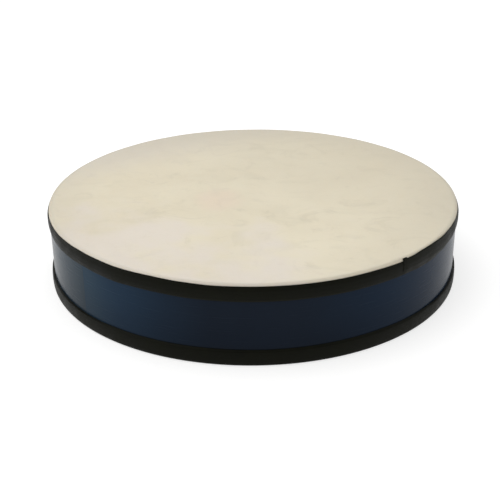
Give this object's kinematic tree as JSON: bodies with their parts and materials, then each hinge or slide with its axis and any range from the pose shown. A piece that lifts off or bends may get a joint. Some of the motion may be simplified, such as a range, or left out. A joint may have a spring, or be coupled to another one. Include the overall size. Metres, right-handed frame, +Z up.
{
  "type": "bodhran",
  "caption": "Round frame drum with a stretched hide head on a deep wrapped wooden hoop, taped at both rims and open at the back over a wooden hand-hold cross.",
  "frame": {"origin": "centre of the back rim, on the plane the drum rests on", "axes": "+Z up from the open back to the head; -Y is the front, where the view is taken from; +X is to the right"},
  "size_m": [0.4114, 0.4114, 0.0778],
  "materials": {
    "plywood": "bent birch plywood, thin clear sealer",
    "wrap": "deep blue laminate, gloss",
    "hide": "natural untanned hide, matt and slightly mottled",
    "tape": "black coated cloth tape, semi-matt",
    "hoop_strip": "plain bent strip, unfinished",
    "bar_wood": "beech, satin lacquer",
    "tack_steel": "blued upholstery tack",
    "screw_steel": "zinc plated"
  },
  "bodies": {
    "root": {"shell_hoop": "plywood", "shell_wrap": "wrap", "head_skin": "hide", "head_tape": "tape", "back_tape": "tape", "back_hoop": "hoop_strip", "crossbar_lower": "bar_wood", "crossbar_upper": "bar_wood", "centre_screw": "screw_steel", "head_tack_01": "tack_steel", "head_tack_02": "tack_steel", "head_tack_03": "tack_steel", "head_tack_04": "tack_steel", "head_tack_05": "tack_steel", "head_tack_06": "tack_steel", "head_tack_07": "tack_steel", "head_tack_08": "tack_steel", "head_tack_09": "tack_steel", "head_tack_10": "tack_steel", "head_tack_11": "tack_steel", "head_tack_12": "tack_steel", "head_tack_13": "tack_steel", "head_tack_14": "tack_steel", "head_tack_15": "tack_steel", "head_tack_16": "tack_steel", "head_tack_17": "tack_steel", "head_tack_18": "tack_steel", "head_tack_19": "tack_steel", "head_tack_20": "tack_steel", "head_tack_21": "tack_steel", "head_tack_22": "tack_steel", "head_tack_23": "tack_steel", "head_tack_24": "tack_steel", "crossbar_screw_front": "screw_steel", "crossbar_screw_right": "screw_steel", "crossbar_screw_back": "screw_steel", "crossbar_screw_left": "screw_steel"}
  },
  "joints": []
}
